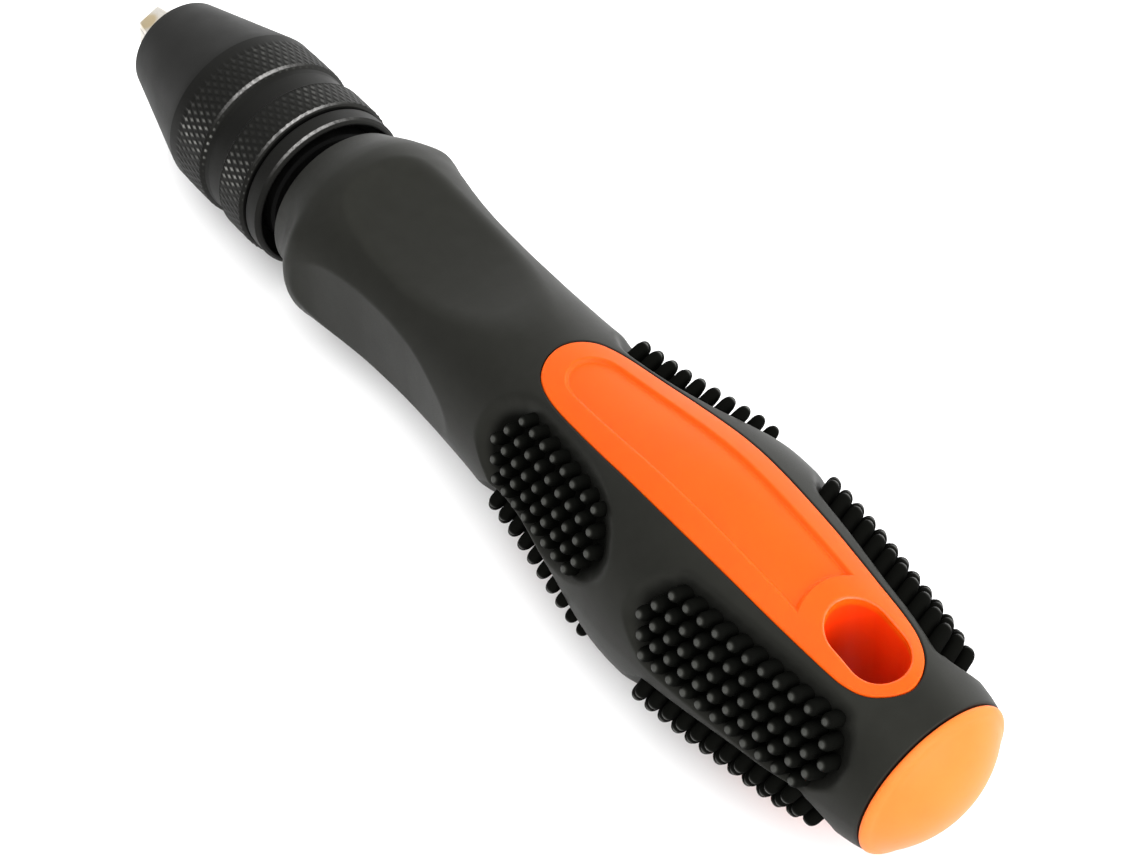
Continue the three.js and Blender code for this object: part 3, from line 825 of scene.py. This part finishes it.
def jaw_piece(name, angle):
    s = Shape()
    turn_by = math.radians(angle)
    across = np.array([0, math.cos(turn_by), -math.sin(turn_by)])
    out = np.array([0, math.sin(turn_by), math.cos(turn_by)])
    rings = []
    for x, r in JAW_NOSE:
        o = jaw_section(r)
        pts = np.array([x, 0, 0]) + o[:, :1] * across + o[:, 1:] * out
        rings.append(s.add(pts, np.zeros(len(o))))
    s.grid(np.stack(rings), wrap=True)
    for ring, x, r in ((rings[0], *JAW_NOSE[0]), (rings[-1], *JAW_NOSE[-1])):
        middle = s.add([np.array([x, 0, 0]) + out * 0.55 * r])[0]
        b = np.roll(ring, -1)
        s.quads(ring, b, np.full_like(ring, middle), np.full_like(ring, middle))
    # the shank that leans outwards behind the nose: round, with a grooved flat on its outer side
    lean = math.radians(JAW_LEAN)
    along = np.array([-math.cos(lean), 0, 0]) + out * math.sin(lean)
    up = np.array([math.sin(lean), 0, 0]) + out * math.cos(lean)
    turn_round = np.arange(32) * 2 * math.pi / 32
    tip = np.array([JAW_TIP_X, 0, 0])
    shank = [(7.8, 1.2)]
    shank += [(d, min(2.4, 0.215 * d)) for d in np.arange(7.9, 25.31, 0.25)]
    shank += [(25.35, 2.1)]
    rings = []
    for d, r in shank:
        flat = 1.5 - 0.22 * max(0.0, math.sin(2 * math.pi * d / 1.55))
        pts = tip + along * d + (
            np.minimum(r * np.cos(turn_round), flat)[:, None] * up
            + (r * np.sin(turn_round))[:, None] * across
        )
        rings.append(s.add(pts))
    s.grid(np.stack(rings), wrap=True)
    for ring, d in ((rings[0], shank[0][0]), (rings[-1], shank[-1][0])):
        middle = s.add([tip + along * d])[0]
        b = np.roll(ring, -1)
        s.quads(ring, b, np.full_like(ring, middle), np.full_like(ring, middle))
    return s.build(name, sharp=25)


jaw_objects = [jaw_piece(f"jaw_{k + 1}_ground", JAW_PHASE + 120 * k) for k in range(3)]


# --------------------------------------------------------------------------- chuck body
def opened_body():
    """The chuck body with its jaw bores opened out in front, where the broad noses draw back."""
    source = frame["nodes"]["chuck_body"]
    mesh = source.data.copy()
    mesh.transform(source.matrix_world)
    body = bpy.data.objects.new("chuck_body_opened", mesh)
    scene.collection.objects.link(body)
    lean = math.radians(JAW_LEAN)
    around = np.arange(48) * 2 * math.pi / 48
    cutters = []
    for k in range(3):
        turn_by = math.radians(JAW_PHASE + 120 * k)
        across = np.array([0, math.cos(turn_by), -math.sin(turn_by)])
        out = np.array([0, math.sin(turn_by), math.cos(turn_by)])
        along = np.array([-math.cos(lean), 0, 0]) + out * math.sin(lean)
        up = np.array([math.sin(lean), 0, 0]) + out * math.cos(lean)
        s = Shape()
        rings = []
        for d in (-4.0, 21.6):
            pts = np.array([JAW_TIP_X, 0, 0]) + along * d + 3.86 * (
                np.cos(around)[:, None] * up + np.sin(around)[:, None] * across
            )
            rings.append(s.add(pts))
        s.grid(np.stack(rings), wrap=True)
        for ring, d in ((rings[0], -4.0), (rings[1], 21.6)):
            middle = s.add([np.array([JAW_TIP_X, 0, 0]) + along * d])[0]
            b = np.roll(ring, -1)
            s.quads(ring, b, np.full_like(ring, middle), np.full_like(ring, middle))
        cutter = s.build(f"bore_{k + 1}")
        modifier = body.modifiers.new("bore", "BOOLEAN")
        modifier.operation, modifier.solver, modifier.object = "DIFFERENCE", "EXACT", cutter
        cutters.append(cutter)
    bpy.context.view_layer.update()
    cut = bpy.data.meshes.new_from_object(body.evaluated_get(bpy.context.evaluated_depsgraph_get()))
    body.modifiers.clear()
    body.data = cut
    bpy.data.meshes.remove(mesh)
    for cutter in cutters:
        mesh = cutter.data
        bpy.data.objects.remove(cutter)
        bpy.data.meshes.remove(mesh)
    cut.materials.clear()
    cut.polygons.foreach_set("material_index", [0] * len(cut.polygons))
    cut.polygons.foreach_set("use_smooth", [True] * len(cut.polygons))
    cut.set_sharp_from_angle(angle=math.radians(28))
    cut.update()
    return body


body_object = opened_body()


# --------------------------------------------------------------------------- materials
class Nodes:
    """Shorthand for building a node tree."""

    def __init__(self, name):
        self.material = bpy.data.materials.new(name)
        self.material.use_nodes = True
        self.tree = self.material.node_tree
        self.shader = self.tree.nodes["Principled BSDF"]
        self.coordinates = self.add("ShaderNodeTexCoord").outputs["Object"]

    def add(self, kind, **settings):
        node = self.tree.nodes.new(kind)
        for key, value in settings.items():
            setattr(node, key, value)
        return node

    def link(self, a, b):
        self.tree.links.new(a, b)

    def set(self, **values):
        for key, value in values.items():
            self.shader.inputs[key.replace("_", " ")].default_value = value

    def noise(self, scale, detail=4.0, roughness=0.55, stretch=None, offset=0.0):
        source = self.coordinates
        if stretch or offset:
            mapping = self.add("ShaderNodeMapping")
            mapping.inputs["Scale"].default_value = stretch or (1, 1, 1)
            mapping.inputs["Location"].default_value = (offset, offset, offset)
            self.link(source, mapping.inputs["Vector"])
            source = mapping.outputs["Vector"]
        node = self.add("ShaderNodeTexNoise")
        node.inputs["Scale"].default_value = scale
        node.inputs["Detail"].default_value = detail
        node.inputs["Roughness"].default_value = roughness
        self.link(source, node.inputs["Vector"])
        return node.outputs["Fac"]

    def map(self, value, low, high, to_low, to_high):
        node = self.add("ShaderNodeMapRange")
        node.clamp = True
        for key, number in (("From Min", low), ("From Max", high), ("To Min", to_low), ("To Max", to_high)):
            node.inputs[key].default_value = number
        self.link(value, node.inputs["Value"])
        return node.outputs["Result"]

    def maths(self, operation, a, b):
        node = self.add("ShaderNodeMath", operation=operation)
        for socket, value in zip(node.inputs, (a, b)):
            if isinstance(value, (int, float)):
                socket.default_value = value
            else:
                self.link(value, socket)
        return node.outputs["Value"]

    def mix(self, factor, a, b):
        node = self.add("ShaderNodeMix", data_type="RGBA", blend_type="MIX")
        if isinstance(factor, (int, float)):
            node.inputs[0].default_value = factor
        else:
            self.link(factor, node.inputs[0])
        for socket, value in ((node.inputs[6], a), (node.inputs[7], b)):
            if isinstance(value, tuple):
                socket.default_value = (*value, 1)
            else:
                self.link(value, socket)
        return node.outputs[2]

    def bump(self, layers):
        """Stacks bump layers, each (height output, strength, distance in metres)."""
        normal = None
        for height, strength, distance in layers:
            node = self.add("ShaderNodeBump")
            node.inputs["Strength"].default_value = strength
            node.inputs["Distance"].default_value = distance
            self.link(height, node.inputs["Height"])
            if normal is not None:
                self.link(normal, node.inputs["Normal"])
            normal = node.outputs["Normal"]
        self.link(normal, self.shader.inputs["Normal"])

    # reads the per-vertex value that carries painted shade, painted highlights and some wear
    def painted_light_and_wear(self):
        return self.add("ShaderNodeAttribute", attribute_name="painted_light_and_wear").outputs["Fac"]


def rubber_material():
    n = Nodes("grip_rubber")
    broad = n.noise(55, 3)
    cloud = n.noise(420, 4, offset=3.0)
    grain = n.noise(5200, 5, 0.65)
    painted_light_and_wear = n.painted_light_and_wear()
    base = n.mix(n.map(cloud, 0.3, 0.7, 0, 1), (0.0062, 0.0063, 0.0055), (0.0075, 0.0076, 0.0067))
    # painted highlight: nub tips coloured lighter as highlight dots
    highlight_and_polish = n.map(painted_light_and_wear, 0.0, 1.0, 0.0, 0.9)
    base = n.mix(highlight_and_polish, base, (0.040, 0.041, 0.038))
    # painted shade: nub sides and hollow floors coloured darker, and below their specular is turned down
    shade = n.map(painted_light_and_wear, -1.0, 0.0, 0.95, 0.0)
    base = n.mix(shade, base, (0.0026, 0.0027, 0.0023))
    n.link(base, n.shader.inputs["Base Color"])
    rough = n.maths("ADD", n.map(broad, 0.3, 0.7, 0.46, 0.53), n.map(grain, 0.3, 0.7, -0.03, 0.03))
    n.link(rough, n.shader.inputs["Roughness"])
    n.bump([(n.noise(900, 3, offset=1.0), 0.12, 0.00006), (grain, 0.22, 0.00002)])
    n.link(n.map(painted_light_and_wear, -1.0, 0.0, 0.004, 0.13), n.shader.inputs["Specular IOR Level"])
    n.set(IOR=1.5, Specular_Tint=(1.0, 1.0, 0.86, 1.0))
    return n.material


def plastic_material(name, deep, light, rough_low, rough_high, inside, hole_shade_colour):
    n = Nodes(name)
    cloud = n.noise(120, 4)
    grain = n.noise(3800, 4, 0.6)
    scratches = n.noise(900, 3, 0.6, stretch=(0.06, 1.0, 1.0), offset=2.0)
    base = n.mix(n.map(cloud, 0.3, 0.7, 0, 1), deep, light)
    # painted shade: the walls of the hang hole are coloured a deeper red, standing in for the shade and red
    # inter-reflection inside the hole
    painted_light_and_wear = n.painted_light_and_wear()
    base = n.mix(n.map(painted_light_and_wear, 0.0, 1.0, 0.0, 1.0), base, hole_shade_colour)
    n.link(base, n.shader.inputs["Base Color"])
    rough = n.maths(
        "ADD", n.map(cloud, 0.3, 0.7, rough_low, rough_high), n.map(scratches, 0.6, 0.75, 0.0, 0.08)
    )
    highlight_and_polish = n.map(painted_light_and_wear, -1.0, 0.0, 1.0, 0.0)
    n.link(n.maths("SUBTRACT", rough, n.maths("MULTIPLY", highlight_and_polish, 0.18)), n.shader.inputs["Roughness"])
    n.link(n.maths("ADD", n.maths("MULTIPLY", highlight_and_polish, 0.25), 0.12), n.shader.inputs["Specular IOR Level"])
    n.bump([(grain, 0.14, 0.00002), (scratches, 0.05, 0.00002)])
    n.set(IOR=1.5)
    # a little light passes through the plastic
    n.set(Subsurface_Weight=inside, Subsurface_Radius=(1.0, 0.25, 0.08), Subsurface_Scale=0.0025)
    return n.material


def black_steel_material():
    n = Nodes("black_steel")
    cloud = n.noise(150, 4)
    lathe = n.noise(1500, 3, 0.6, stretch=(3.0, 0.08, 0.08), offset=1.0)
    grain = n.noise(7000, 4, 0.6, offset=4.0)
    painted_light_and_wear = n.painted_light_and_wear()
    base = n.mix(n.map(cloud, 0.3, 0.7, 0, 1), (0.0027, 0.0027, 0.0026), (0.0037, 0.0037, 0.0035))
    # painted highlights, with some wear: knurl tips coloured lighter in patches, and the turned edges coloured and
    # made metallic like bright bare steel
    places = n.map(n.noise(420, 2, offset=7.0), 0.36, 0.56, 0.4, 1.0)
    painted_tip_highlight = n.maths("MULTIPLY", n.map(painted_light_and_wear, 0.0, 1.0, 0.0, 1.0), places)
    base = n.mix(painted_tip_highlight, base, (0.17, 0.17, 0.16))
    specks = n.map(n.noise(1400, 3, 0.7, offset=5.0), 0.35, 0.6, 0.35, 1.0)
    painted_edge_highlight = n.maths("MULTIPLY", n.map(painted_light_and_wear, -0.9, -0.06, 1.0, 0.0), specks)
    base = n.mix(painted_edge_highlight, base, (0.26, 0.255, 0.25))
    n.link(base, n.shader.inputs["Base Color"])
    n.link(painted_edge_highlight, n.shader.inputs["Metallic"])
    rough = n.maths("ADD", n.map(cloud, 0.3, 0.7, 0.46, 0.54), n.map(grain, 0.3, 0.7, -0.03, 0.03))
    n.link(rough, n.shader.inputs["Roughness"])
    n.bump([(lathe, 0.10, 0.00003), (grain, 0.12, 0.000015)])
    n.set(Specular_IOR_Level=0.085, IOR=1.5, Specular_Tint=(1.0, 1.0, 0.9, 1.0))
    return n.material


def gap_shade_material():
    """Painted shade: a darker, duller copy of the black steel for the faces inside the gap behind the chuck, which lie
    in shade.
    """
    n = Nodes("painted_gap_shade")
    cloud = n.noise(300, 4)
    lathe = n.noise(1500, 3, 0.6, stretch=(3.0, 0.08, 0.08), offset=1.0)
    n.link(
        n.mix(n.map(cloud, 0.3, 0.7, 0, 1), (0.0016, 0.0016, 0.0015), (0.003, 0.003, 0.0028)),
        n.shader.inputs["Base Color"],
    )
    n.link(n.map(cloud, 0.3, 0.7, 0.55, 0.7), n.shader.inputs["Roughness"])
    n.bump([(lathe, 0.10, 0.00003)])
    n.set(Specular_IOR_Level=0.06, IOR=1.5)
    return n.material


def steel_material(
    name, dark, light, rough_low, rough_high, stretch=(0.15, 2.0, 2.0), tint=None, tan_spot=None
):
    n = Nodes(name)
    cloud = n.noise(260, 4)
    lines = n.noise(2600, 4, 0.65, stretch=stretch)
    base = n.mix(n.map(lines, 0.3, 0.7, 0, 1), dark, light)
    if tint:
        base = n.mix(n.map(cloud, 0.45, 0.75, 0.0, 0.5), base, tint)
    if tan_spot:
        # a tan colour round one spot on the jaws' noses
        spot, reach, colour = tan_spot
        away = n.add("ShaderNodeVectorMath", operation="DISTANCE")
        n.link(n.coordinates, away.inputs[0])
        away.inputs[1].default_value = [v * MM for v in spot]
        base = n.mix(n.map(away.outputs["Value"], reach * 0.6 * MM, reach * MM, 1.0, 0.0), base, colour)
    n.link(base, n.shader.inputs["Base Color"])
    rough = n.maths(
        "ADD", n.map(cloud, 0.3, 0.7, rough_low, rough_high), n.map(lines, 0.3, 0.7, -0.04, 0.04)
    )
    n.link(rough, n.shader.inputs["Roughness"])
    n.bump([(lines, 0.12, 0.00002)])
    n.set(Metallic=1.0)
    return n.material


rubber = rubber_material()
orange = plastic_material("core_plastic", (0.60, 0.070, 0.0012), (0.66, 0.078, 0.0018), 0.40, 0.48, 0.35, (0.72, 0.038, 0.0016))
cap_orange = plastic_material("cap_plastic", (0.74, 0.135, 0.019), (0.80, 0.150, 0.024), 0.36, 0.44, 0.2, (0.7, 0.12, 0.015))
black = black_steel_material()
gap_shade_steel = gap_shade_material()
jaw_steel = steel_material(
    "jaw_steel", (0.41, 0.39, 0.355), (0.52, 0.495, 0.45), 0.3, 0.42, tint=(0.45, 0.41, 0.35),
    tan_spot=((94.0 - MIDDLE, 2.2, 2.9), 2.0, (0.375, 0.305, 0.19)),
)
nut_steel = steel_material("nut_steel", (0.38, 0.38, 0.39), (0.5, 0.5, 0.51), 0.3, 0.42, (2.0, 0.2, 0.2))
bearing_steel = steel_material("bearing_steel", (0.7, 0.7, 0.72), (0.8, 0.8, 0.82), 0.1, 0.18)
brass = steel_material("cage_brass", (0.55, 0.38, 0.14), (0.68, 0.5, 0.22), 0.28, 0.4)
spindle_steel = steel_material(
    "spindle_steel", (0.09, 0.09, 0.095), (0.16, 0.16, 0.165), 0.32, 0.45, (2.0, 0.2, 0.2)
)
BY_SLOT = {
    "black_steel": black,
    "jaw_steel": jaw_steel,
    "nut_steel": nut_steel,
    "bearing_steel": bearing_steel,
    "cage_brass": brass,
    "spindle_steel": spindle_steel,
    "core_plastic": orange,
    "grip_rubber": rubber,
    "cap_plastic": cap_orange,
}

# pieces: each rides on its body and stands for its node
for piece, material, body, node in (
    (grip_object, "grip_rubber", "handle", "grip_sleeve"),
    (core_object, "core_plastic", "handle", "handle_core"),
    (cap_object, "cap_plastic", "handle", "end_cap"),
    (sleeve_object, "black_steel", "sleeve", "outer_sleeve"),
    (ring_object, "black_steel", "handle", "rear_ring"),
    (body_object, "black_steel", "handle", "chuck_body"),
    (jaw_objects[0], "jaw_steel", "jaw_body_1", "jaw_1"),
    (jaw_objects[1], "jaw_steel", "jaw_body_2", "jaw_2"),
    (jaw_objects[2], "jaw_steel", "jaw_body_3", "jaw_3"),
):
    piece.data.materials.append(BY_SLOT[material])
    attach(piece, body)
    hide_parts(node)

# the collar covers the rear end of the chuck body
# painted shade: the collar gets the darker steel of the gap
collar_object.data.materials.append(gap_shade_steel)
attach(collar_object, "handle")

# nodes that stay as they are get their material and smooth shading, with edges sharper than 28 degrees kept sharp
slots = {s["node"]: s["material_slot"] for s in frame["record"]["subparts"]}
for node, obj in frame["nodes"].items():
    if obj.hide_render:
        continue
    mesh = obj.data
    mesh.materials.clear()
    mesh.materials.append(BY_SLOT[slots[node]])
    mesh.polygons.foreach_set("material_index", [0] * len(mesh.polygons))
    mesh.polygons.foreach_set("use_smooth", [True] * len(mesh.polygons))
    mesh.set_sharp_from_angle(angle=math.radians(28))
    mesh.update()

# --------------------------------------------------------------------------- floor
# The tool lies on its chuck and its belly, so the floor touches both and leans with them.
bpy.context.view_layer.update()
lowest = []
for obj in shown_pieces():
    co = np.zeros(len(obj.data.vertices) * 3)
    obj.data.vertices.foreach_get("co", co)
    co = co.reshape(-1, 3)
    lowest.append(co[:, [0, 2]])
lowest = np.concatenate(lowest)
lowest = lowest[np.argsort(lowest[:, 0])]
bins = np.round(lowest[:, 0] / 0.0005).astype(int)
under = {}
for b, (x, z) in zip(bins, lowest):
    if b not in under or z < under[b][1]:
        under[b] = (x, z)
hull = []
for p in sorted(under.values()):
    while len(hull) > 1 and (
        (hull[-1][0] - hull[-2][0]) * (p[1] - hull[-2][1])
        - (hull[-1][1] - hull[-2][1]) * (p[0] - hull[-2][0])
    ) <= 0:
        hull.pop()
    hull.append(p)
for a, b in zip(hull, hull[1:]):
    if a[0] <= 0.01 <= b[0]:
        slope, foot = (b[1] - a[1]) / (b[0] - a[0]), a
floor_level = foot[1] - slope * foot[0] - 0.00003
FLOOR = 4.0
corners = [
    (x, y, floor_level + slope * x)
    for x, y in ((-FLOOR, -FLOOR), (FLOOR, -FLOOR), (FLOOR, FLOOR), (-FLOOR, FLOOR))
]
floor_mesh = bpy.data.meshes.new("floor")
floor_mesh.from_pydata(corners, [], [(0, 1, 2, 3)])
floor = bpy.data.objects.new("floor", floor_mesh)
scene.collection.objects.link(floor)
paper = Nodes("pale_floor")
paper.link(
    paper.mix(paper.map(paper.noise(30, 3), 0.3, 0.7, 0, 1), (0.90, 0.90, 0.90), (0.92, 0.92, 0.92)),
    paper.shader.inputs["Base Color"],
)
paper.set(Roughness=0.9, Specular_IOR_Level=0.1)
floor_mesh.materials.append(paper.material)

# --------------------------------------------------------------------------- light
world = bpy.data.worlds.new("studio")
scene.world = world
world.use_nodes = True
tree = world.node_tree
background = tree.nodes["Background"]
direction = tree.nodes.new("ShaderNodeTexCoord").outputs["Generated"]


def patch(height, turn, strength):
    """A soft-edged patch of the tent, by its height above the floor and its turn from +X to +Y."""
    height, turn = math.radians(height), math.radians(turn)
    dot = tree.nodes.new("ShaderNodeVectorMath")
    dot.operation = "DOT_PRODUCT"
    tree.links.new(direction, dot.inputs[0])
    dot.inputs[1].default_value = (
        math.cos(height) * math.cos(turn),
        math.cos(height) * math.sin(turn),
        math.sin(height),
    )
    ramp = tree.nodes.new("ShaderNodeMapRange")
    ramp.interpolation_type = "SMOOTHSTEP"
    ramp.inputs["From Min"].default_value = math.cos(math.radians(40))
    ramp.inputs["From Max"].default_value = math.cos(math.radians(5))
    ramp.inputs["To Min"].default_value = 0.0
    ramp.inputs["To Max"].default_value = strength
    tree.links.new(dot.outputs["Value"], ramp.inputs["Value"])
    return ramp.outputs["Result"]


# a white tent, bright behind the tool's rear end and low at its far side:
# height, turn of the first patch, strengths of evenly spaced patches round the tool
TENT = [
    (90, 0, [0.9]),
    (60, 0, [0.72, 0.81, 1.97, 0.38, 0.46, 0.46]),
    (30, 18, [0.34, 0.19, 0.27, 0.63, 0.62, 0.42, 0.53, 0.8, 0.4, 0.78]),
    (6, 0, [0.61, 0.17, 0.2, 0.35, 0.66, 6.36, 1.39, 2.51, 2.17, 1.05]),
]
total = None
for height, turn, strengths in TENT:
    for k, strength in enumerate(strengths):
        value = patch(height, turn + 360 * k / len(strengths), strength)
        if total is None:
            total = value
            continue
        node = tree.nodes.new("ShaderNodeMath")
        node.operation = "ADD"
        tree.links.new(total, node.inputs[0])
        tree.links.new(value, node.inputs[1])
        total = node.outputs[0]
tree.links.new(total, background.inputs["Strength"])
background.inputs["Color"].default_value = (1, 1, 1, 1)

# --------------------------------------------------------------------------- camera
camera_data = bpy.data.cameras.new("camera")
camera_data.sensor_width = 36
camera_data.sensor_fit = "HORIZONTAL"
camera_data.lens = 78.3
camera_data.clip_start, camera_data.clip_end = 0.01, 20
camera = bpy.data.objects.new("camera", camera_data)
scene.collection.objects.link(camera)
eye, aim = Vector((-0.1963, 0.1425, 0.2680)), Vector((-0.0153, 0, 0))
camera.location = eye - Vector((MIDDLE * MM, 0, 0))
camera.rotation_mode = "QUATERNION"
camera.rotation_quaternion = (aim - eye).to_track_quat("-Z", "Y") @ Quaternion(
    (0, 0, 1), math.radians(0.34)
)
scene.camera = camera
scene.view_settings.view_transform = "Standard"
scene.view_settings.look = "None"
